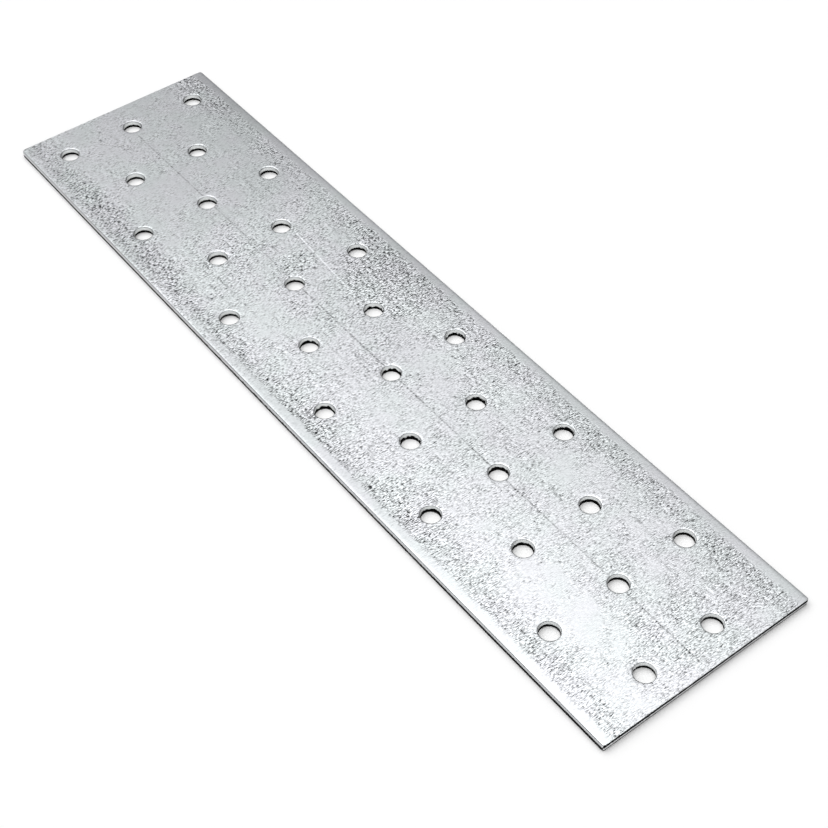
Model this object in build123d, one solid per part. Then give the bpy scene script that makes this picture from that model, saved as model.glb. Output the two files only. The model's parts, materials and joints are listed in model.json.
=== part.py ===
from build123d import *
import os

# A perforated nail plate of galvanised sheet steel, made as one piece.
# Slit strip runs through a punching tool, several rows of holes at a stroke,
# and is then parted into plates. Sizes are in millimetres and degrees.
# The plate lies flat with +Z up and +X along the strip. The origin is the
# centre of the underside.

# Strip stock
strip_width = 60.0
sheet_thickness = 2.0

# Slit long edges: the top face droops beside the edge and rolls over into
# the side. The foot of the side is torn and leans inwards.
droop_width = 2.2
droop_depth = 0.1
slit_roll = 0.45
slit_tear_height = 0.6
slit_tear_depth = 0.12

# Parted ends: the parting tool comes up through the strip, so the small roll
# is at the foot, and the torn part is above it and leans inwards.
end_roll = 0.25
end_tear_height = 0.8
end_tear_depth = 0.1

# Nail holes: a shallow drawn-in lip, a cylindrical land and a torn mouth
# below, which is wider than the land.
hole_diameter = 5.0
lip_width = 0.35
lip_depth = 0.18
mouth_height = 0.9
mouth_growth = 0.25

# Hole pattern: wide rows take turns with narrow rows of one hole less.
row_count = 12
row_pitch = 20.0
hole_pitch = 20.0
wide_row_holes = 3
first_margin = 10.0
last_margin = 8.0

# Punching tool: it pierces a block of rows at each stroke. The strip passes
# through it slightly askew and off its centre line, so the rows drift
# sideways along a stroke and step back where the next one begins.
stroke_rows = 10
rows_before_stroke = 1
tool_skew = 0.43
tool_sidestep = -0.42

# How close a corner's height has to be to count as the one to round
same_height = 0.001

# Worked out from the sizes above
plate_length = first_margin + (row_count - 1) * row_pitch + last_margin
half_length = plate_length / 2
half_width = strip_width / 2
hole_radius = hole_diameter / 2
lip_radius = hole_radius + lip_width
lip_foot = sheet_thickness - lip_depth
mouth_radius = hole_radius + mouth_growth
droop_height = sheet_thickness - droop_depth


def mirrored_outline(right_half, workplane):
    """A closed outline: points of its right half, then their mirror images."""
    left_half = [(-across, up) for across, up in reversed(right_half)]
    return make_face(workplane * Polyline(*right_half, *left_half, close=True))


def rolled(outline, height, roll):
    """The outline with its corners at one height rounded."""
    corners = [v for v in outline.vertices() if abs(v.Z - height) < same_height]
    return fillet(corners, roll)


def slit_strip():
    """Strip with its slit edges, a little longer than the plate."""
    section = mirrored_outline(
        [
            (half_width - slit_tear_depth, 0),
            (half_width, slit_tear_height),
            (half_width, droop_height),
            (half_width - droop_width, sheet_thickness),
        ],
        Plane.YZ,
    )
    section = rolled(section, droop_height, slit_roll)
    return extrude(section, amount=half_length + sheet_thickness, both=True)


def parting_space():
    """The space between two cuts of the parting tool, wider than the strip."""
    outline = mirrored_outline(
        [
            (half_length, 0),
            (half_length, sheet_thickness - end_tear_height),
            (half_length - end_tear_depth, sheet_thickness),
        ],
        Plane.XZ,
    )
    outline = rolled(outline, 0, end_roll)
    return extrude(outline, amount=half_width + sheet_thickness, both=True)


def nail_hole():
    """The space that one nail hole takes out of the sheet, about the Z axis."""
    above = sheet_thickness + lip_depth
    profile = Polyline(
        (0, 0),
        (mouth_radius, 0),
        (hole_radius, mouth_height),
        (hole_radius, lip_foot),
        (lip_radius, sheet_thickness),
        (lip_radius, above),
        (0, above),
        close=True,
    )
    return revolve(make_face(Plane.XZ * profile), Axis.Z)


def holes_in_row(row):
    """How many holes a row has, counting rows from 0 at the -X end."""
    return wide_row_holes - row % 2


def hole_centre(row, hole):
    """Centre of one hole, counting holes from 0 at the -Y side."""
    stroke = (row - rows_before_stroke) // stroke_rows
    stroke_middle = rows_before_stroke + (stroke + 0.5) * stroke_rows - 0.5
    tool_x = first_margin - half_length + stroke_middle * row_pitch
    along = (row - stroke_middle) * row_pitch
    across = (hole - (holes_in_row(row) - 1) / 2) * hole_pitch
    return Pos(tool_x, tool_sidestep) * Rot(0, 0, tool_skew) * Pos(along, across)


def nail_plate():
    """The whole plate, one solid."""
    plate = slit_strip() & parting_space()
    cutter = nail_hole()
    cutters = [
        hole_centre(row, hole) * cutter
        for row in range(row_count)
        for hole in range(holes_in_row(row))
    ]
    return plate - cutters


os.makedirs("parts", exist_ok=True)
export_step(nail_plate().solid(), "parts/nail_plate.step")
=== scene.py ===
# %% [markdown]
# # A perforated nail plate in galvanised steel
#
# This lesson dresses one plain part. It is a flat plate of galvanised sheet
# steel that joins two timbers: nails go through its thirty holes. Nothing on
# it moves, and nothing is fixed to it, so all of its character is in the
# edges that the tools left and in the skin of zinc.
#
# We load the packed model first. It is a fixed frame: every size and every
# place below is measured from it, so that the dressed plate lies exactly
# where the plain one does.

# %% Load the packed model
import json
import math

import bmesh
import bpy
from mathutils import Matrix, Vector, noise


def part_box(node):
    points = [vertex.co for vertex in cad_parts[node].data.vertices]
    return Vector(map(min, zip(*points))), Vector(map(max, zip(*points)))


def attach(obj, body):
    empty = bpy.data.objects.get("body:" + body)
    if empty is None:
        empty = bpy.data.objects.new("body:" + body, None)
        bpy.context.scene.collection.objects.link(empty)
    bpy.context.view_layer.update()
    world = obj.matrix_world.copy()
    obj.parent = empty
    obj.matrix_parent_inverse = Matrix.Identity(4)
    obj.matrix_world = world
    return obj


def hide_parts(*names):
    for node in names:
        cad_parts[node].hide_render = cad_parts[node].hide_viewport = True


MM = 0.001

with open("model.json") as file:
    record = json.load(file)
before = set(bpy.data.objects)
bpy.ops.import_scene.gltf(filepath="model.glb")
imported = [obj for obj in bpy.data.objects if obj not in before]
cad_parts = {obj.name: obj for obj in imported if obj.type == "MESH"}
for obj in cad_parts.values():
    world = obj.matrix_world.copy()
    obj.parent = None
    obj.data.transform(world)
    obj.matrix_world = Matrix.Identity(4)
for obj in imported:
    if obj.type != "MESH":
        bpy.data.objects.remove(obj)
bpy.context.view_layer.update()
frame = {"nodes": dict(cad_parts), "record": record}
plain_plate = frame["nodes"]["nail_plate"]
plate_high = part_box("nail_plate")[1]
half_length = plate_high.x
half_width = plate_high.y
thickness = plate_high.z
print("plate, mm:", [round(2 * s / MM, 2) for s in (half_length, half_width)], thickness / MM)

# %% [markdown]
# ## Where the holes are
#
# The strip went through its punching tool a little askew, so the rows drift
# sideways and the holes aren't on a perfect grid. We could repeat the tool's
# arithmetic here. It is safer to read the holes off the packed plate: the
# only corners in the middle of its top face are those round the holes, and
# the mean of one hole's corners is its centre.

# %% Read the holes off the plate
EDGE_MARGIN = 3 * MM
WIDEST_HOLE = 8 * MM
SAME_PLACE = 0.001 * MM


def top_corners(plate):
    """The corners in the middle of the plate's top face, each one once."""
    found = {tuple(round(c / SAME_PLACE) for c in v.co) for v in plate.data.vertices}
    corners = [Vector(place) * SAME_PLACE for place in sorted(found)]
    return [
        c
        for c in corners
        if c.z > thickness - SAME_PLACE
        and abs(c.x) < half_length - EDGE_MARGIN
        and abs(c.y) < half_width - EDGE_MARGIN
    ]


def hole_rings(plate):
    """The corners sorted into one ring for each hole."""
    rings = []
    for corner in top_corners(plate):
        ring = next((r for r in rings if (r[0] - corner).length < WIDEST_HOLE), None)
        if ring:
            ring.append(corner)
        else:
            rings.append([corner])
    return rings


rings = hole_rings(plain_plate)
hole_centres = [sum(ring, Vector()) / len(ring) for ring in rings]
lip_radius = sum((c - hole_centres[0]).length for c in rings[0]) / len(rings[0])
hole_radius = max(m["dims"].get("hole_r_mm", 0) for m in frame["record"]["mounts"]) * MM
print("holes:", len(hole_centres), "radius, mm:", round(hole_radius / MM, 3))
print("lip radius, mm:", round(lip_radius / MM, 3))

# %% [markdown]
# ## One way to make every edge
#
# A sheared edge has bands, from the side that the tool came in by: a roll
# where the sheet was drawn in, a land that the tool wiped smooth, and a torn
# part where the steel broke. The same is true of the plate's outline and of
# each hole. So one helper makes them all. It takes a ring of edges and
# extrudes it down in steps, and it stretches the ring a little at each step.
# A ring that is a long rectangle makes the plate's four sides, and a ring
# that is a circle makes a hole.

# %% A helper that draws a ring down through the sheet
def corners_of(made):
    """The corners among what an operator made."""
    return [g for g in made if isinstance(g, bmesh.types.BMVert)]


def edges_between(made, corners):
    """The edges among what an operator made that join these corners."""
    ring = set(corners)
    return [g for g in made if isinstance(g, bmesh.types.BMEdge) and ring.issuperset(g.verts)]


def extruded(bm, edges, stretch, drop, centre):
    """Extrude a ring of edges, stretch the new ring about a centre, and lower it."""
    made = bmesh.ops.extrude_edge_only(bm, edges=edges)["geom"]
    corners = corners_of(made)
    to_centre = Matrix.Translation(-centre)
    bmesh.ops.scale(bm, vec=(*stretch, 1), verts=corners, space=to_centre)
    bmesh.ops.translate(bm, vec=(0, 0, -drop), verts=corners)
    return edges_between(made, corners)


def draw_down(bm, edges, centre, steps):
    """Extrude a ring of edges down through (half x, half y, height) steps."""
    for (wide, deep, high), (next_wide, next_deep, next_high) in zip(steps, steps[1:]):
        stretch = (next_wide / wide, next_deep / deep)
        edges = extruded(bm, edges, stretch, high - next_high, centre)
    return edges


print("depth to draw down, mm:", round(thickness / MM, 2))

# %% [markdown]
# ## The profile of the edges
#
# The plate was cut from a wider sheet in two ways. Rolling knives slit its
# long sides from above: the top face droops and rolls over, and the foot is
# torn. A parting tool came up through the strip and made its two ends, so
# there the small roll is at the foot and the torn band is at the top.
#
# Both can be written as one question: at this height, how far out does the
# edge reach? We ask it at the same heights for the sides and for the ends,
# and each answer is one ring of the plate's outline. The droop is a shallow
# power curve, flat where it leaves the top face and steeper outwards, and
# each roll is a quarter of a circle. The tear is higher up the sides near one
# end, where the knives were duller, and the end cut leaves a burr on top.

# %% How far out the sides and the ends reach
DROOP_WIDTH = 2.5 * MM
DROOP_DEPTH = 0.045 * MM
DROOP_POWER = 1.4
SIDE_ROLL = 0.45 * MM
SIDE_TEAR_TOP = 0.9 * MM
SIDE_TEAR_RISE = 0.25 * MM
SIDE_TEAR_LEAN = 0.06 * MM
END_TEAR_FOOT = 1.0 * MM
END_TEAR_FALL = 0.17 * MM
END_BURR = 0.22 * MM
END_TEAR_LEAN = 0.02 * MM
END_ROLL = 0.12 * MM
droop_foot = thickness - DROOP_DEPTH
roll_foot = droop_foot - SIDE_ROLL


def side_reach(height):
    """How far out the long sides are at a height."""
    if height > droop_foot:
        drooped = (thickness - height) / DROOP_DEPTH
        return half_width - SIDE_ROLL - DROOP_WIDTH * (1 - drooped ** (1 / DROOP_POWER))
    if height > roll_foot:
        return half_width - SIDE_ROLL + math.sqrt(max(0, SIDE_ROLL**2 - (height - roll_foot) ** 2))
    if height < SIDE_TEAR_TOP:
        return half_width - SIDE_TEAR_LEAN * (1 - height / SIDE_TEAR_TOP)
    return half_width


def end_reach(height):
    """How far out the two ends are at a height."""
    if height > END_TEAR_FOOT:
        return half_length - END_TEAR_LEAN * (height - END_TEAR_FOOT) / (thickness - END_TEAR_FOOT)
    if height < END_ROLL:
        return half_length - END_ROLL + math.sqrt(max(0, END_ROLL**2 - (END_ROLL - height) ** 2))
    return half_length


flat_face = [end_reach(thickness), side_reach(thickness)]
print("flat part of the top face, mm:", [round(2 * reach / MM, 2) for reach in flat_face])

# %% The heights of the rings
DROOP_STEPS = 4
ROLL_STEPS = 6
LAND_STEPS = 7
FOOT_STEPS = 5


def quarter_turn(steps):
    """Angles from 0 to a quarter turn."""
    return [math.pi / 2 * i / steps for i in range(steps + 1)]


def outline_heights():
    """Heights from the top face to the underside, closer together where the profile turns."""
    droop = [thickness - DROOP_DEPTH * (i / DROOP_STEPS) ** DROOP_POWER for i in range(DROOP_STEPS)]
    roll = [roll_foot + SIDE_ROLL * math.cos(turn) for turn in quarter_turn(ROLL_STEPS)[:-1]]
    fall = (roll_foot - END_ROLL) / LAND_STEPS
    land = [roll_foot - fall * i for i in range(LAND_STEPS)]
    foot = [END_ROLL * (1 - math.sin(turn)) for turn in quarter_turn(FOOT_STEPS)]
    return droop + roll + land + foot


heights = outline_heights()
print("rings round the outline:", len(heights))

# %% [markdown]
# ## How the torn steel moves
#
# A drawn ring is perfect, and a torn band isn't: the steel let go in small
# steps. So the corners of a torn ring move back into the steel by an amount
# that comes from smooth noise, and neighbours move together. We also keep at
# every corner how far it is past the line where the tear starts, as a number
# in millimetres. The finish will read that number and turn the torn part
# dark along a ragged line that is much finer than the mesh.

# %% Helpers for torn steel
GRAIN = 0.45 * MM
SLOW_GRAIN = 2.8 * MM
GRAIN_SHARE = 0.6
SLOW_GRAIN_SHARE = 0.5
MIDDLE = 0.5
TEAR_RUN_IN = 0.2 * MM


def new_piece():
    """An empty bmesh whose corners can hold how far past the tear line they are."""
    bm = bmesh.new()
    return bm, bm.verts.layers.float.new("past tear line")


def raggedness(place):
    """Smooth noise from 0 to 1: small grains on slow waves."""
    fine = noise.noise(place / GRAIN)
    slow = noise.noise(place / SLOW_GRAIN)
    return min(1, max(0, MIDDLE + GRAIN_SHARE * fine + SLOW_GRAIN_SHARE * slow))


def run_in(past_line):
    """0 at the line where the tear starts, 1 a little way past it."""
    return max(0, min(1, past_line / TEAR_RUN_IN))


print("grains of torn steel, mm:", [round(size / MM, 2) for size in (GRAIN, SLOW_GRAIN)])

# %% [markdown]
# ## The plate's outline
#
# The top ring starts as one flat rectangle. Its four corners are rounded a
# little, because the slitting knives and the parting tool never leave a
# needle point. Then its face is thrown away, the ring of edges is divided
# finely enough for a torn edge to look torn, and the helper draws it down.
# A narrow flat border stays inside the ring. Without it, the smooth shading
# of the drooping edge would leak into the wide triangles of the top face.

# %% The ring round the top face, and its border
CORNER_ROUNDING = 0.45 * MM
ROUNDING_SEGMENTS = 4
OUTLINE_STEP = 0.42 * MM
BORDER = 0.3 * MM


def outline_ring(bm):
    """A fine ring of edges: the rounded rectangle of the flat top face."""
    bmesh.ops.create_grid(bm, x_segments=1, y_segments=1, size=1)
    size = (end_reach(thickness), side_reach(thickness), 1)
    bmesh.ops.scale(bm, vec=size, verts=bm.verts)
    bmesh.ops.translate(bm, vec=(0, 0, thickness), verts=bm.verts)
    bmesh.ops.bevel(
        bm,
        geom=bm.verts[:],
        offset=CORNER_ROUNDING,
        affect="VERTICES",
        segments=ROUNDING_SEGMENTS,
        profile=0.5,
        material=-1,
    )
    bmesh.ops.delete(bm, geom=bm.faces[:], context="FACES_ONLY")
    for edge in [e for e in bm.edges if e.calc_length() > EDGE_MARGIN]:
        cuts = round(edge.calc_length() / OUTLINE_STEP) - 1
        bmesh.ops.subdivide_edges(bm, edges=[edge], cuts=cuts)
    return bm.edges[:]


def flat_border(bm, edges, half_x, half_y, outwards, centre=Vector()):
    """Extrude a flat border from a ring, outwards or, below 0, inwards."""
    stretch = (1 + outwards / half_x, 1 + outwards / half_y)
    return extruded(bm, edges, stretch, 0, centre)


print("flat border, mm:", round(BORDER / MM, 2))

# %% [markdown]
# ## The tear round the outline
#
# The line where the tear starts isn't level. On the long sides it climbs
# towards the near end. On the ends it drops from the front side to the back,
# and near the front a thin burr stands clean above the torn band. One
# function says how far any place is past that line, and the corners past it
# are pushed back into the steel. On the two flat faces they move only half
# as far, so that the outline stays crisp there.

# %% Tear the outline
EDGE_TEAR_DEPTH = 0.09 * MM
FACE_TEAR_SHARE = 0.5
BURR_SHARPNESS = 4
BURR_START = 0.5


def past_tear_line(place, on_end):
    """How far a place on a side or an end is past the line where its tear starts."""
    if not on_end:
        return SIDE_TEAR_TOP + SIDE_TEAR_RISE * max(0, place.x / half_length) - place.z
    share = (1 + place.y / half_width) / 2
    burr_foot = thickness - END_BURR * min(1, max(0, BURR_SHARPNESS * share - BURR_START))
    return min(place.z - END_TEAR_FOOT + END_TEAR_FALL * share, burr_foot - place.z)


def tear_outline(corners, tear):
    """Roughen the torn bands of the sides and the ends."""
    for corner in corners:
        place = corner.co.copy()
        on_end = end_reach(place.z) - abs(place.x) < side_reach(place.z) - abs(place.y)
        past_line = past_tear_line(place, on_end)
        corner[tear] = past_line / MM
        depth = EDGE_TEAR_DEPTH * raggedness(place) * run_in(past_line)
        if min(place.z, thickness - place.z) < SAME_PLACE:
            depth *= FACE_TEAR_SHARE
        if on_end:
            corner.co.x -= math.copysign(depth, place.x)
        else:
            corner.co.y -= math.copysign(depth, place.y)


foot_corners = [Vector((x, half_width, 0)) for x in (-half_length, half_length)]
tear_tops = [past_tear_line(corner, on_end=False) for corner in foot_corners]
print("the sides tear below, far and near, mm:", [round(top / MM, 2) for top in tear_tops])

# %% [markdown]
# ## Not quite straight, not quite square
#
# Strip from a coil is never quite straight, and a parting tool is never
# quite square to it. So the corners of the whole outline are moved inwards a
# little: the long sides get a slight camber and the ends a skew. No corner
# moves outwards, so the plate stays inside the box of the plain one.

# %% Bend and draw the outline
FULLEST = 32 * MM
FRONT_CAMBER = 0.66 * MM
CAMBER_POWER = 1.5
BACK_CAMBER = 0.3 * MM
BACK_RUN = 70 * MM
NEAR_SKEW = 0.16 * MM
FAR_SKEW = 0.5 * MM


def bend_sides(corners):
    """Give the long sides the slight camber of strip from a coil, and the ends their skew."""
    for corner in corners:
        along, across = corner.co.x, corner.co.y / half_width
        if across < 0:
            camber = FRONT_CAMBER * (abs(along - FULLEST) / (half_length + FULLEST)) ** CAMBER_POWER
        else:
            camber = BACK_CAMBER * min(1, (half_length - along) / BACK_RUN)
        corner.co.y -= camber * across
        skew = NEAR_SKEW if along > 0 else FAR_SKEW
        corner.co.x -= skew * (1 - across) / 2 * along / half_length


def drawn_outline():
    """The four sides of the plate with a flat border on its top face and its underside."""
    bm, tear = new_piece()
    top = outline_ring(bm)
    steps = [(end_reach(h), side_reach(h), h) for h in heights]
    bottom = draw_down(bm, top, Vector(), steps)
    drawn = bm.verts[:]
    flat_border(bm, top, steps[0][0], steps[0][1], -BORDER)
    flat_border(bm, bottom, steps[-1][0], steps[-1][1], -BORDER)
    tear_outline(drawn, tear)
    bend_sides(bm.verts)
    return bm


outline = drawn_outline()
print("faces round the outline:", len(outline.faces))

# %% [markdown]
# ## The nail holes
#
# A punch drew the zinc in round each hole before it cut, wiped the wall
# smooth, and broke the rest away. So a hole has a rolled lip, a bright land
# and a ragged mouth. In the middle rows the black torn band starts higher and
# the mouth hangs in narrower than the land: that is painted shade, for the
# dark gap under the middle of the plate, which is slightly lifted off the
# paper. Each circle is turned a little, because the fill that closes the
# faces stumbles over a circle with one corner at its top and two level ones
# beside it.

# %% The profile of a hole
LIP_DEPTH = 0.2 * MM
LIP_STEPS = 5
WALL_STEPS = 3
TEAR_STEPS = 5
ROW_PITCH = 20 * MM
# For each row from the far end, in mm: how high the tear starts, and how much wider the mouth is.
# In the middle rows both are painted shade for the gap under the plate's lifted middle.
ROW_TEAR_AND_GAP_SHADE = [0.75, 0.75, 0.8, 0.75, 0.8, 0.75, 0.85, 0.9, 0.95, 0.9, 0.85, 0.9]
ROW_MOUTH_AND_GAP_SHADE = [0.06, 0.0, 0.06, 0.0, 0.06, -0.14, -0.2, -0.22, -0.18, -0.14, -0.04, 0.04]


def hole_row(centre):
    """Which row a hole is in, counted from the far end."""
    return int((centre.x + half_length) / ROW_PITCH)


def hole_steps(tear_top, growth):
    """A hole's (radius, radius, height) steps, from the flat of the top face to the underside."""
    steps = []
    for turn in quarter_turn(LIP_STEPS):
        radius = hole_radius + (lip_radius - hole_radius) * (1 - math.sin(turn))
        steps.append((radius, radius, thickness - LIP_DEPTH * (1 - math.cos(turn))))
    land_top = thickness - LIP_DEPTH
    for i in range(1, WALL_STEPS + 1):
        height = land_top - (land_top - tear_top) * i / WALL_STEPS
        steps.append((hole_radius, hole_radius, height))
    for i in range(1, TEAR_STEPS + 1):
        radius = hole_radius + growth * math.sqrt(i / TEAR_STEPS)
        steps.append((radius, radius, tear_top * (1 - i / TEAR_STEPS)))
    return steps


print("rows:", len(ROW_TEAR_AND_GAP_SHADE), "rings in one hole:", len(hole_steps(ROW_TEAR_AND_GAP_SHADE[0] * MM, 0)))

# %% Draw each hole down
HOLE_SEGMENTS = 72
HOLE_TURN = math.radians(1.7)
COLLAR = 0.6 * MM
HOLE_TEAR_DEPTH = 0.16 * MM


def tear_hole(corners, tear, centre, tear_top):
    """Roughen the torn mouth of one hole."""
    for corner in corners:
        past_line = tear_top - corner.co.z
        corner[tear] = past_line / MM
        out = (corner.co - centre) * Vector((1, 1, 0))
        depth = HOLE_TEAR_DEPTH * (raggedness(corner.co) - MIDDLE) * run_in(past_line)
        corner.co += out.normalized() * depth


def drawn_hole(centre):
    """One hole with a flat collar on the top face and on the underside."""
    bm, tear = new_piece()
    tear_top = ROW_TEAR_AND_GAP_SHADE[hole_row(centre)] * MM
    steps = hole_steps(tear_top, ROW_MOUTH_AND_GAP_SHADE[hole_row(centre)] * MM)
    place = Matrix.Translation(centre) @ Matrix.Rotation(HOLE_TURN, 4, "Z")
    bmesh.ops.create_circle(bm, segments=HOLE_SEGMENTS, radius=steps[0][0], matrix=place)
    top = bm.edges[:]
    mouth = draw_down(bm, top, centre, steps)
    drawn = bm.verts[:]
    flat_border(bm, top, steps[0][0], steps[0][1], COLLAR, centre)
    flat_border(bm, mouth, steps[-1][0], steps[-1][1], COLLAR, centre)
    tear_hole(drawn, tear, centre, tear_top)
    return bm


holes = [drawn_hole(centre) for centre in hole_centres]
print("faces in one hole:", len(holes[0].faces), "holes:", len(holes))

# %% [markdown]
# ## Close the two faces
#
# What is left are two flat areas, each with a long border outside and thirty
# collars inside. A fill of triangles does that in one call, because it takes
# the inner rings as holes. It takes corners that are nearer than about 0.03 of
# a unit for one, so for the fill a millimetre is made one unit.

# %% Put the pieces together and fill the faces
FILL_SCALE = 1000


def put_together(pieces):
    """All the pieces in one bmesh."""
    whole = new_piece()[0]
    for piece in pieces:
        mesh = bpy.data.meshes.new("piece")
        piece.to_mesh(mesh)
        piece.free()
        whole.from_mesh(mesh)
        bpy.data.meshes.remove(mesh)
    return whole


def at_height(part, height):
    """Whether an edge or a face lies flat at a height."""
    return all(abs(v.co.z - height) < SAME_PLACE for v in part.verts)


def close_face(bm, height):
    """Fill the flat area between the open rings at a height."""
    open_rings = [e for e in bm.edges if e.is_boundary and at_height(e, height)]
    bmesh.ops.scale(bm, vec=(FILL_SCALE,) * 3, verts=bm.verts)
    bmesh.ops.triangle_fill(bm, use_beauty=True, edges=open_rings)
    bmesh.ops.scale(bm, vec=(1 / FILL_SCALE,) * 3, verts=bm.verts)


whole = put_together([outline, *holes])
for height in (thickness, 0):
    close_face(whole, height)
print("faces in all:", len(whole.faces))

# %% [markdown]
# ## Finish the mesh
#
# The number in the tear layer belongs to a corner, and a corner of the torn
# foot is shared with the flat underside. If the flat face read it too, the
# dark tear would bleed inwards. So it is copied to the corners of each face,
# and the two flat faces get a number far below any other. Edges that turn
# sharply are marked, so that the rest can be shaded smooth.

# %% Mark the tear and the sharp edges, and make the object
SHARP = math.radians(35)
NO_TEAR = -3.0


def mark_tear(bm):
    """Give each face's corners their depth in the tear, with none on the two flat faces."""
    past_line = bm.verts.layers.float["past tear line"]
    tear = bm.loops.layers.float.new("tear")
    for face in bm.faces:
        flat = at_height(face, 0) or at_height(face, thickness)
        for loop in face.loops:
            loop[tear] = NO_TEAR if flat else loop.vert[past_line]
    bm.verts.layers.float.remove(past_line)


def finished(bm, name):
    """Turn every face outwards, mark the sharp edges, and make the object."""
    bmesh.ops.recalc_face_normals(bm, faces=bm.faces)
    for face in bm.faces:
        face.smooth = True
    for edge in bm.edges:
        edge.smooth = edge.calc_face_angle(0) < SHARP
    print("edges without two faces:", sum(1 for e in bm.edges if len(e.link_faces) != 2))
    print("triangles:", len(bm.calc_loop_triangles()))
    print("volume, cubic mm:", round(bm.calc_volume() / MM**3, 1))
    mesh = bpy.data.meshes.new(name)
    bm.to_mesh(mesh)
    bm.free()
    made = bpy.data.objects.new(name, mesh)
    bpy.context.collection.objects.link(made)
    return made


mark_tear(whole)
plate = finished(whole, "punched_plate")
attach(plate, "root")
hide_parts("nail_plate")

# %% [markdown]
# ## A small language for shaders
#
# A node tree is a calculation, and Python can write it as one. The class
# below wraps one output of one node. Its operators add Math nodes, so that
# `1 - mask` or `a * b + c` reads like what it does. Every other kind of node
# comes from the one method `node`.

# %% Wrap a socket so that Python's operators build nodes
class Wire:
    """One output in a node tree, or the bare tree where the output is None."""

    def __init__(self, tree, output=None):
        self.tree = tree
        self.output = output

    def node(self, kind, settings=None, inputs=None, output=0):
        """Add a node, set it up, feed its sockets, and give one output of it."""
        made = self.tree.nodes.new("ShaderNode" + kind)
        for name, value in (settings or {}).items():
            setattr(made, name, value)
        for name, value in (inputs or {}).items():
            if isinstance(value, Wire):
                self.tree.links.new(value.output, made.inputs[name])
            else:
                made.inputs[name].default_value = value
        return Wire(self.tree, made.outputs[output] if made.outputs else None)

    def math(self, operation, *values):
        """Add a Math node."""
        return self.node("Math", {"operation": operation}, dict(enumerate(values)))

    def __add__(self, other):
        return self.math("ADD", self, other)

    def __sub__(self, other):
        return self.math("SUBTRACT", self, other)

    def __rsub__(self, other):
        return self.math("SUBTRACT", other, self)

    def __mul__(self, other):
        return self.math("MULTIPLY", self, other)

    def __truediv__(self, other):
        return self.math("DIVIDE", self, other)

    def __abs__(self):
        return self.math("ABSOLUTE", self)

    __radd__ = __add__
    __rmul__ = __mul__

    def ramp(self, low, high, at_low=0.0, at_high=1.0):
        """Turn smoothly from one value to another as this one goes from low to high."""
        return self.node(
            "MapRange",
            {"interpolation_type": "SMOOTHSTEP"},
            {"Value": self, "From Min": low, "From Max": high, "To Min": at_low, "To Max": at_high},
        )

    def clamp(self):
        """This value, held between 0 and 1."""
        return self.node("Clamp", None, {"Value": self})

    def most(self, other):
        """The larger of two values."""
        return self.math("MAXIMUM", self, other)

    def least(self, other):
        """The smaller of two values."""
        return self.math("MINIMUM", self, other)

    def mixed(self, low, high):
        """A colour between two, with this value as the amount, from 0 to 1."""
        return self.node("Mix", {"data_type": "RGBA"}, {0: self, 6: low, 7: high}, 2)


print("besides its operators a wire has:", [n for n in vars(Wire) if not n.startswith("_")])

# %% [markdown]
# ## Places on the plate, and noise
#
# Every pattern starts from a place on the plate in millimetres. It comes
# from Object coordinates, which are the plate's own, so a pattern stays where
# it is whatever the camera does. Two more helpers give a noise of a chosen
# size, which may be longer in one direction, and a soft round patch.

# %% Helpers for places and noise
TOP, SIDE, END = (round(size / MM, 3) for size in (thickness, half_width, half_length))


def in_mm(tree):
    """The place on the plate, in millimetres."""
    place = Wire(tree).node("TexCoord", output="Object")
    return place.node("VectorMath", {"operation": "SCALE"}, {0: place, "Scale": 1 / MM})


def split(vector):
    """The three parts of a vector."""
    return [vector.node("SeparateXYZ", None, {0: vector}, part) for part in range(3)]


def noise_of(place, size, detail=2.0, rough=0.5, stretch=(1, 1, 1), offset=0.0, warp=0.0):
    """Noise from 0 to 1 whose blobs are about a size across, in millimetres."""
    shrink = tuple(1 / (size * longer) for longer in stretch)
    moved = {"Vector": place, "Location": (offset,) * 3, "Scale": shrink}
    spread = place.node("Mapping", None, moved)
    look = {"Scale": 1.0, "Detail": detail, "Roughness": rough, "Distortion": warp}
    return place.node("TexNoise", {"noise_dimensions": "3D"}, {"Vector": spread, **look})


def patch(x, y, centre, reach):
    """1 in the middle of a soft round patch, 0 outside it."""
    across = (x - centre[0]) / reach[0]
    along = (y - centre[1]) / reach[1]
    return (across * across + along * along).ramp(0.0, 1.0, 1.0, 0.0)


print("top, side and end of the plate, mm:", TOP, SIDE, END)

# %% [markdown]
# ## Where the zinc is marked
#
# The sheet was dipped in molten zinc before it was cut, and pulled out
# bright. Then it was rolled, stacked and handled, and thousands of short
# fine marks were rubbed into the soft skin, nearly all of them across the
# strip. They don't lie evenly. Towards the long sides, where stacked strips
# rub, they make a grey band. The middle has lost some of them again and
# shines. The knives pressed the outermost millimetres smooth, least so on the
# far half of the front side.
#
# An even noise over the whole plate would look like wallpaper. So we first
# make a map of how thick the marks lie: a ramp along the plate, a band along
# each long side, a few soft patches that add or take away, and a slow noise
# that breaks all of their outlines.

# %% A map of how thick the marks lie
# Each patch has a centre, its reach along and across the plate, and what it adds or takes away.
RUBBED_PATCHES = [
    ((-15, 18), (17, 13), 0.9),
    ((-35, 4), (6, 7), 0.5),
    ((25, 17), (9, 12), 0.2),
    ((47, -22), (15, 8), 0.3),
    ((106, 3), (14, 20), 0.2),
    ((12, -24), (12, 6), 0.3),
    ((-50, -11), (14, 12), 0.2),
    ((56, 22), (14, 7), 0.1),
    ((104, 22), (14, 7), 0.2),
    ((-75, -25), (42, 8), 0.35),
    ((-112, 25), (14, 9), 0.4),
    ((-28, 26), (16, 6), 0.25),
]
SHINING_PATCHES = [
    ((85, -13), (17, 9), -0.28),
    ((-22, -13), (14, 9), -0.16),
    ((98, -11), (10, 7), -0.25),
    ((112, -20), (12, 9), -0.15),
    ((15, -8), (26, 9), -0.2),
    ((14, 8), (14, 9), -0.2),
    ((62, 14), (10, 8), -0.15),
]
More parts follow.
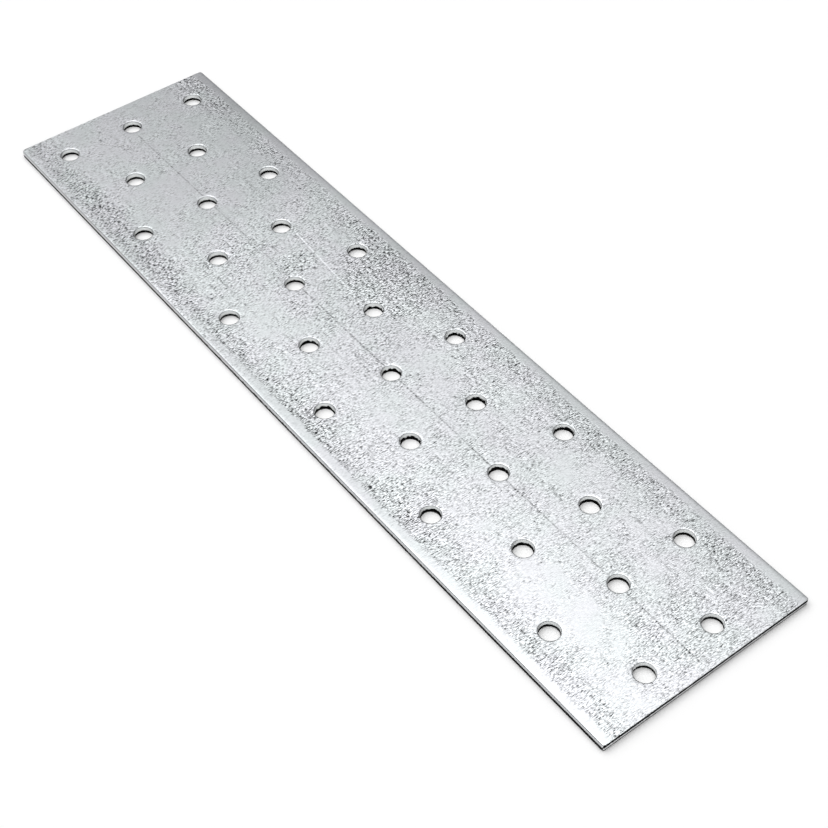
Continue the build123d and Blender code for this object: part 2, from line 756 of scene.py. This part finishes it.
# Where the marks change along the plate or across it: the two ends of a soft step, in mm.
FAR_STEP = (-66.0, -48.0)
NEAR_STEP = (10.0, 60.0)
RUBBED_BAND = (SIDE - 10.0, SIDE - 5.5)
PRESSED_BORDER = (SIDE - 3.4, SIDE - 2.2)
UNPRESSED_RUN = (-50.0, 10.0)
FAR_MARKS = 0.22
MIDDLE_MARKS = 0.46
NEAR_LOSS = 0.12
BAND_MARKS = 0.25
MOTTLE_SIZE = 5.0
MOTTLE_MARKS = 1.2
BORDER_MOTTLE = 3.0
UNPRESSED_SHARE = 0.7


def thickness_of_marks(place, x, y):
    """How thick the marks in the zinc lie, from 0 to about 1."""
    amount = x.ramp(*FAR_STEP, FAR_MARKS, MIDDLE_MARKS) - x.ramp(*NEAR_STEP, 0.0, NEAR_LOSS)
    for centre, reach, change in RUBBED_PATCHES + SHINING_PATCHES:
        amount = amount + patch(x, y, centre, reach) * change
    band = abs(y).ramp(*RUBBED_BAND)
    mottle = noise_of(place, MOTTLE_SIZE, detail=3.0, rough=0.6) - MIDDLE
    unpressed = (y * -1.0).ramp(0.0, 1.0) * x.ramp(*UNPRESSED_RUN, 1.0, 0.0)
    inside = (abs(y) + mottle * BORDER_MOTTLE).ramp(*PRESSED_BORDER, 1.0, 0.0)
    left = inside.most(unpressed * UNPRESSED_SHARE)
    return (amount + band * BAND_MARKS + mottle * MOTTLE_MARKS).clamp() * left


print("patches:", len(RUBBED_PATCHES), "rubbed,", len(SHINING_PATCHES), "shining")

# %% [markdown]
# ## The marks themselves
#
# One mark is a small dent with a dark side and a bright side. A contour line
# of a noise does that well. Where the noise is near one value we draw dark,
# and where it is near a slightly higher value we draw bright, so the two
# always lie side by side. The noise is longer across the strip than along
# it, as the marks are. A second noise breaks the lines into short pieces,
# and less so where the marks lie thick.
#
# A few longer scratches are drawn one by one: the line down the middle that
# the strip's guide left, a pale line where something was dragged, and
# some short ones across. Each is a distance from a straight line.

# %% Short marks
DARK_LINE = MIDDLE
BRIGHT_LINE = MIDDLE + 0.095
# How far from its contour line a line starts to fade, and where it ends.
DARK_FADE = (0.015, 0.07)
BRIGHT_FADE = (0.01, 0.05)
BREAKS = (0.5, 0.6)
FEWER_BREAKS = 0.4
# The noise that breaks the lines is this many times as large as the marks.
BREAK_SIZE = 1.3
MARK_STRETCH = (1, 6, 1)
BREAK_STRETCH = (1, 2.6, 1)


def marks(place, size, thick):
    """Short wandering marks, dark with a bright side, more of them where they lie thick."""
    field = noise_of(place, size, detail=1.0, rough=0.6, stretch=MARK_STRETCH, warp=0.2)
    broken = noise_of(place, size * BREAK_SIZE, 1.0, stretch=BREAK_STRETCH, offset=31.0)
    there = (broken + thick * FEWER_BREAKS).ramp(*BREAKS)
    dark = abs(field - DARK_LINE).ramp(*DARK_FADE, 1.0, 0.0)
    bright = abs(field - BRIGHT_LINE).ramp(*BRIGHT_FADE, 1.0, 0.0)
    return dark * there, bright * there


print("contour lines of a mark:", DARK_LINE, BRIGHT_LINE)

# %% Long scratches
# Each scratch has a start, an end, its half width, and how much brighter or darker it is.
SCRATCHES = [
    ((-106, -0.5), (-20, -0.35), 0.28, -0.32),
    ((-20, -0.35), (117.5, -0.2), 0.28, -0.4),
    ((-46, 10.9), (-14, 8.6), 0.28, 0.45),
    ((-44, -0.5), (-43.7, 5.1), 0.25, -0.35),
    ((41.1, 0.7), (41.5, 11.3), 0.25, -0.3),
    ((110.6, -0.2), (110.9, 1.8), 0.25, -0.35),
]
SCRATCH_RUN_OUT = 2.0
SCRATCH_CORE = 0.4
SCRATCH_GRAIN = 1.1
SCRATCH_BREAKS = (0.4, 0.6)
FAINTEST = 0.55


def scratch(place, x, y, start, end, width):
    """A thin straight scratch that breaks up along its way."""
    run, rise = end[0] - start[0], end[1] - start[1]
    length = math.hypot(run, rise)
    along = ((x - start[0]) * run + (y - start[1]) * rise) / length
    across = ((y - start[1]) * run - (x - start[0]) * rise) / length
    leaving = along.ramp(length - SCRATCH_RUN_OUT, length, 1.0, 0.0)
    inside = along.ramp(0.0, SCRATCH_RUN_OUT) * leaving
    broken = noise_of(place, SCRATCH_GRAIN, rough=0.6, offset=53.0)
    strength = broken.ramp(*SCRATCH_BREAKS, FAINTEST, 1.0)
    return abs(across).ramp(width * SCRATCH_CORE, width, 1.0, 0.0) * inside * strength


print("scratches, mm:", [round(math.dist(start, end), 1) for start, end, _, _ in SCRATCHES])

# %% [markdown]
# ## The skin of zinc
#
# The top face is metal all over, so its Metallic is 1 and its base colour
# says how much light it gives back. That tone is a plain number near 1. We
# start from the ground tone, take the dark marks away, add the bright sides
# and a fine grain, and let each scratch change it. The same grain and the
# same marks also tilt the surface a little through a Bump node, which is
# what makes them glint.

# %% The ground tone
# Where the tone changes along the plate or across it: the two ends of a soft step, in mm.
FAR_TONE = (-66.0, -50.0)
# The near step and the bright end below are painted light: they brighten the zinc towards the near
# end, as the lamp does.
NEAR_LIGHT_STEP = (20.0, 90.0)
GREY_BAND = (SIDE - 11.0, SIDE - 6.0)
FRONT_RIM = (3.5 - SIDE, 6.0 - SIDE)
FRONT_BAND = (5.0 - SIDE, 12.0 - SIDE)
FRONT_BAND_RUN = (-60.0, -20.0)
RIM_START = (-50.0, -20.0)
RIM_END = (40.0, 80.0)
PAINTED_LIGHT_END = (92.0, 112.0)
PAINTED_LIGHT_ACROSS = (-14.0, -4.0)
# Each tone patch has a centre, a reach, and how much brighter or darker the zinc is there.
TONE_PATCHES = [
    ((18, 19), (40, 13), 0.07),
    ((-106, 25), (24, 8), -0.07),
    ((-16, 24), (28, 9), -0.08),
    ((-62, -25), (52, 6), -0.05),
]
FAR_GROUND = 0.99
MIDDLE_GROUND = 1.08
# Painted light: how much brighter the zinc is made towards the near end.
NEAR_PAINTED_LIGHT = 0.04
END_PAINTED_LIGHT = 0.06
SIDE_SHADE = 0.035
FRONT_BAND_SHADE = 0.07
FAR_RIM_SHADE = 0.03
RIM_SHADE = 0.15
NEAR_RIM_LIFT = 0.1


def zinc_ground(x, y):
    """The tone of unmarked zinc, a little darker along both sides, most so along the front, with
    painted light that brightens it towards the near end.
    """
    ground = x.ramp(*FAR_TONE, FAR_GROUND, MIDDLE_GROUND) + x.ramp(*NEAR_LIGHT_STEP, 0.0, NEAR_PAINTED_LIGHT)
    rim = x.ramp(*RIM_START, FAR_RIM_SHADE, RIM_SHADE) - x.ramp(*RIM_END, 0.0, NEAR_RIM_LIFT)
    ground = ground - y.ramp(*FRONT_RIM, 1.0, 0.0) * rim
    band = x.ramp(*FRONT_BAND_RUN, FRONT_BAND_SHADE, 0.0)
    ground = ground - y.ramp(*FRONT_BAND, 1.0, 0.0) * band
    ground = ground - abs(y).ramp(*GREY_BAND) * SIDE_SHADE
    for centre, reach, change in TONE_PATCHES:
        ground = ground + patch(x, y, centre, reach) * change
    return ground + x.ramp(*PAINTED_LIGHT_END, 0.0, END_PAINTED_LIGHT) * y.ramp(*PAINTED_LIGHT_ACROSS)


print("tone patches:", len(TONE_PATCHES))

# %% The tone with its marks, and the relief
MARKS_FADE = (TOP - 0.1, TOP - 0.02)
MARK_SIZE = 0.5
GRAIN_SIZE = 0.25
GRAIN_STRETCH = (1, 3.2, 1)
STREAK_SIZE = 0.34
STREAK_STRETCH = (1, 8, 1)
STREAK_START = 0.58
STREAK_FADE = 0.08
# What each one changes where the marks lie thick, and what it changes everywhere.
DARK_SIDE = (0.52, 0.13)
GRAININESS = (5.8, 0.34)
STREAKINESS = (0.56, 0.1)
BRIGHTEST = (0.4, 0.05)
GRAIN_RELIEF = (1.3, 0.3)
BRIGHT_SIDE = 0.5
MARKS_LIFT = 0.16
LIFT = 0.015
DENT_RELIEF = 0.45


def grown(thick, with_marks, everywhere):
    """A strength that grows as the marks lie thicker."""
    return thick * with_marks + everywhere


def zinc_skin(place, x, y, z, flat):
    """The tone of the zinc, and the height of its relief."""
    top = z.ramp(*MARKS_FADE)
    thick = thickness_of_marks(place, x, y) * top.most(flat)
    dark, bright = marks(place, MARK_SIZE, thick)
    grain = noise_of(place, GRAIN_SIZE, 1.0, 0.6, GRAIN_STRETCH, offset=7.0) - MIDDLE
    streaks = noise_of(place, STREAK_SIZE, 1.0, 0.6, STREAK_STRETCH, offset=17.0)
    streaks = (streaks - STREAK_START).ramp(0.0, STREAK_FADE)
    ground = zinc_ground(x, y)
    tone = ground - dark * grown(thick, *DARK_SIDE) + bright * (thick * BRIGHT_SIDE)
    tone = tone + thick * MARKS_LIFT + LIFT
    tone = tone + grain * grown(thick, *GRAININESS)
    tone = tone - streaks * grown(thick, *STREAKINESS)
    tone = tone.least(ground + grown(thick, *BRIGHTEST))
    for start, end, width, change in SCRATCHES:
        tone = tone + scratch(place, x, y, start, end, width) * top * change
    relief = grain * grown(thick, *GRAIN_RELIEF) - dark * thick * DENT_RELIEF
    return tone, relief


print("marks fade out between these heights, mm:", MARKS_FADE)

# %% [markdown]
# ## Cut steel and torn steel
#
# The walls of the holes and the cut sides have no zinc of their own. The
# knife smeared a thin film of it over the smooth part of the cut, the land,
# and the torn part below is bare dark steel, painted near black so that it
# also carries the shade inside the cut and under the plate. Its line is
# ragged. We have the distance past that line at every corner of the mesh, so
# we add a little noise to it and ask where the sum is above 0: the steps of
# the line are then finer than the mesh. Punches that are worn leave longer
# teeth. The two flat faces carry a distance that no wall has, so the same
# number tells them apart.

# %% The torn part
RAGGED_SIZE = 0.35
RAGGED_REACH = 0.3
TEETH_SIZE = 0.75
TEETH_STRETCH = (1, 1, 3)
WORST_PUNCH = 15.0
# How far along the plate from the worst punch the teeth shorten, and their two lengths, in mm.
TEETH_RUN = (20.0, 60.0)
TEETH_REACH = (1.2, 0.3)
TORN_EDGE = (-0.03, 0.05)


def torn_part(place, x, tear):
    """1 where the steel is torn, 0 elsewhere, with a ragged line between."""
    ragged = noise_of(place, RAGGED_SIZE, rough=0.6) - MIDDLE
    teeth = noise_of(place, TEETH_SIZE, 1.0, stretch=TEETH_STRETCH, offset=5.0) - MIDDLE
    worn = abs(x - WORST_PUNCH).ramp(*TEETH_RUN, *TEETH_REACH)
    return (tear + RAGGED_REACH * ragged + teeth * worn).ramp(*TORN_EDGE)


print("longest and shortest teeth, mm:", TEETH_REACH)

# %% The land
BLACK = (0.0, 0.0, 0.0, 1)
# The three lands are one wiped finish. Their brightness differs by place as painted light and
# shade: the hole walls and the ends lighter, the long sides darker.
HOLE_LAND_LIT = (0.74, 0.76, 0.76, 1)
SIDE_LAND_SHADED = (0.56, 0.57, 0.58, 1)
END_LAND_LIT = (0.74, 0.75, 0.76, 1)
# Painted shade: the heights over which the outline's land turns black at its foot, where the plate
# meets the paper.
PAINTED_FOOT_SHADOW = (0.35, 0.55)
HOLES_ACROSS = (SIDE - 2.0, SIDE - 1.5)
HOLES_ALONG = (END - 2.0, END - 1.5)
ENDS_ALONG = (END - 1.0, END - 0.5)


def land_colour(x, y, z):
    """The colour of the smooth part of a cut, lighter or darker by place as painted light and
    shade, and black at the very foot of the outline as painted shade.
    """
    in_hole = abs(y).ramp(*HOLES_ACROSS, 1.0, 0.0) * abs(x).ramp(*HOLES_ALONG, 1.0, 0.0)
    outline_land = abs(x).ramp(*ENDS_ALONG).mixed(SIDE_LAND_SHADED, END_LAND_LIT)
    land = in_hole.mixed(outline_land, HOLE_LAND_LIT)
    # Painted shade: below the foot height the land of the outline turns black.
    return z.ramp(*PAINTED_FOOT_SHADOW).most(in_hole).mixed(BLACK, land)


print("the outline's land darkens below, mm:", PAINTED_FOOT_SHADOW[1])

# %% [markdown]
# ## The whole finish
#
# Now the parts come together in one metal shader: zinc on the two faces and
# the lips, land on the walls, and torn steel over both. Torn steel is rough
# and dark, and zinc is satin. A slow noise turns the zinc's hue from a little
# green to a little blue, as dipped sheet has it.
#
# The amount of a Mix node stops at 1, and the tone goes past it. So the tone
# is divided by a number, the headroom, and the two hues that it mixes with
# black are written brighter by the same number.

# %% Galvanised steel
HEADROOM = 1.6
# Bare torn steel is dark; it is painted near black so that it also carries the shade in the cuts
# and under the plate's edges.
TORN_STEEL_AND_SHADE = (0.008, 0.008, 0.008, 1)
SATIN = 0.32
ROUGH_STEEL = 0.8
GREENISH = (0.915, 0.96, 0.973, 1)
BLUISH = (0.941, 0.954, 0.992, 1)
HUE_SIZE = 11.0
HUE_STEP = (0.35, 0.65)
FLAT_FACES = (NO_TEAR + 0.2, NO_TEAR + 0.6)
WALL_TOP = (TOP - 0.2, TOP - 0.14)
RELIEF_DEPTH = 0.06 * MM


def galvanised(material):
    """Galvanised steel: rubbed zinc on the faces, wiped and torn steel in the cuts."""
    material.use_nodes = True
    tree = material.node_tree
    tree.nodes.clear()
    place = in_mm(tree)
    x, y, z = split(place)
    tear = place.node("Attribute", {"attribute_name": "tear"}, output="Fac")
    flat = tear.ramp(*FLAT_FACES, 1.0, 0.0)
    tone, relief = zinc_skin(place, x, y, z, flat)
    torn = torn_part(place, x, tear)
    warmth = noise_of(place, HUE_SIZE, offset=71.0).ramp(*HUE_STEP)
    hue = warmth.mixed(GREENISH, BLUISH)
    zinc = (tone / HEADROOM).mixed(BLACK, hue)
    on_wall = z.ramp(*WALL_TOP, 1.0, 0.0) * (1 - flat)
    clean = on_wall.mixed(zinc, land_colour(x, y, z))
    tilted = place.node("Bump", None, {"Strength": 1.0, "Distance": RELIEF_DEPTH, "Height": relief})
    metal = place.node(
        "BsdfPrincipled",
        None,
        {
            "Metallic": 1.0,
            "Base Color": torn.mixed(clean, TORN_STEEL_AND_SHADE),
            "Roughness": torn.ramp(0.0, 1.0, SATIN, ROUGH_STEEL),
            "Normal": tilted,
        },
    )
    place.node("OutputMaterial", None, {"Surface": metal})
    print("nodes in the finish:", len(tree.nodes))
    return material


plate.data.materials.append(galvanised(bpy.data.materials.new("galvanised_steel")))

# %% [markdown]
# ## The floor
#
# The plate lies on a sheet of white paper. It needs two things that plain
# white paint doesn't give: the plate's soft shadow has to show, and
# the paper round it has to be seen as even white. So the paper is a diffuse
# white, which keeps the shadow, with a faint glow of its own that only the
# camera and reflections see. The light the paper throws is untouched.

# %% The floor
FLOOR_REACH = 4.0
PAPER_WHITE = (0.93, 0.93, 0.93, 1)
PAPER_GLOW = 0.06
WHITE = (1, 1, 1, 1)


def floor_paper(material):
    """White paper: it keeps the plate's shadow, and what looks at it sees white."""
    material.use_nodes = True
    tree = material.node_tree
    tree.nodes.clear()
    start = Wire(tree)
    paper = start.node("BsdfDiffuse", None, {"Color": PAPER_WHITE})
    camera_ray = start.node("LightPath", output="Is Camera Ray")
    glossy_ray = start.node("LightPath", output="Is Glossy Ray")
    through_ray = start.node("LightPath", output="Is Transmission Ray")
    strength = (camera_ray + glossy_ray + through_ray).least(1.0) * PAPER_GLOW
    glow = start.node("Emission", None, {"Color": WHITE, "Strength": strength})
    both = start.node("AddShader", None, {0: paper, 1: glow})
    start.node("OutputMaterial", None, {"Surface": both})
    return material


def laid_floor():
    """A large square of paper at the height of the plate's underside."""
    bm = bmesh.new()
    bmesh.ops.create_grid(bm, x_segments=1, y_segments=1, size=FLOOR_REACH)
    mesh = bpy.data.meshes.new("floor")
    bm.to_mesh(mesh)
    bm.free()
    made = bpy.data.objects.new("floor", mesh)
    bpy.context.collection.objects.link(made)
    made.data.materials.append(floor_paper(bpy.data.materials.new("floor_paper")))
    return made


floor = laid_floor()
print("floor, m:", [round(side, 2) for side in floor.dimensions])

# %% [markdown]
# ## The light
#
# Metal shows what is round it. Under one hard lamp the plate would be a
# black sheet with a white spot. It wants something broad to mirror, so the
# world itself is the light: a dim pale room with one very large soft lamp
# overhead, a little behind the plate. The lamp fades towards its edge, and
# that fade makes the near end brighter than the far one, helped by painted
# light in the zinc's tone. A camera that looks past the paper sees plain
# white, like a backdrop.

# %% The light
SKY_LOW = 0.28
SKY_HIGH = 2.75
LAMP_AZIMUTH = math.radians(202)
LAMP_ELEVATION = math.radians(74)
LAMP_EDGE = 0.65


def direction(azimuth, elevation):
    """A unit vector that points from the plate to a place in the room."""
    level = math.cos(elevation)
    return Vector((level * math.cos(azimuth), level * math.sin(azimuth), math.sin(elevation)))


def studio_sky(world):
    """A dim pale room with one very large soft lamp overhead."""
    world.use_nodes = True
    tree = world.node_tree
    tree.nodes.clear()
    way = Wire(tree).node("TexCoord", output="Generated")
    lamp = tuple(direction(LAMP_AZIMUTH, LAMP_ELEVATION))
    towards = way.node("VectorMath", {"operation": "DOT_PRODUCT"}, {0: way, 1: lamp}, "Value")
    room = towards.ramp(LAMP_EDGE, 1.0, SKY_LOW, SKY_HIGH)
    seen = way.node("LightPath", output="Is Camera Ray")
    strength = room * (1 - seen) + seen
    glow = way.node("Background", None, {"Color": WHITE, "Strength": strength})
    way.node("OutputWorld", None, {"Surface": glow})
    return world


bpy.context.scene.world = studio_sky(bpy.data.worlds.new("studio"))
print("the lamp fades out", round(math.degrees(math.acos(LAMP_EDGE))), "degrees from its middle")

# %% [markdown]
# ## The camera
#
# The camera stands near the plate's front right corner and looks down at
# about 48 degrees. It is close enough for the far end to look smaller. We
# give its place as a direction and a distance from a point on the plate: both
# are easier to judge than three coordinates.

# %% The camera
AIM = Vector((23.53, -3.205, 0)) * MM
DISTANCE = 391.6 * MM
AZIMUTH = math.radians(-38.39)
ELEVATION = math.radians(47.75)
ROLL = math.radians(0.49)
LENS = 71.604
SENSOR = 36
NEAREST = 0.01


def set_camera():
    """Look at the plate from its near right corner, with a slight roll."""
    lens = bpy.data.cameras.new("camera")
    lens.lens = LENS
    lens.sensor_width = SENSOR
    lens.clip_start = NEAREST
    out = direction(AZIMUTH, ELEVATION)
    made = bpy.data.objects.new("camera", lens)
    bpy.context.collection.objects.link(made)
    facing = out.to_track_quat("Z", "Y").to_matrix() @ Matrix.Rotation(ROLL, 3, "Z")
    made.matrix_world = Matrix.Translation(AIM + out * DISTANCE) @ facing.to_4x4()
    bpy.context.scene.camera = made
    return made


camera = set_camera()
bpy.context.scene.view_settings.view_transform = "Standard"
print("camera, m:", [round(c, 3) for c in camera.matrix_world.translation])

# %% [markdown]
# ## The end
# The dressed plate has to lie inside the box of the plain one. boxes to a
# file, where they can be compared, and let the frame finish.
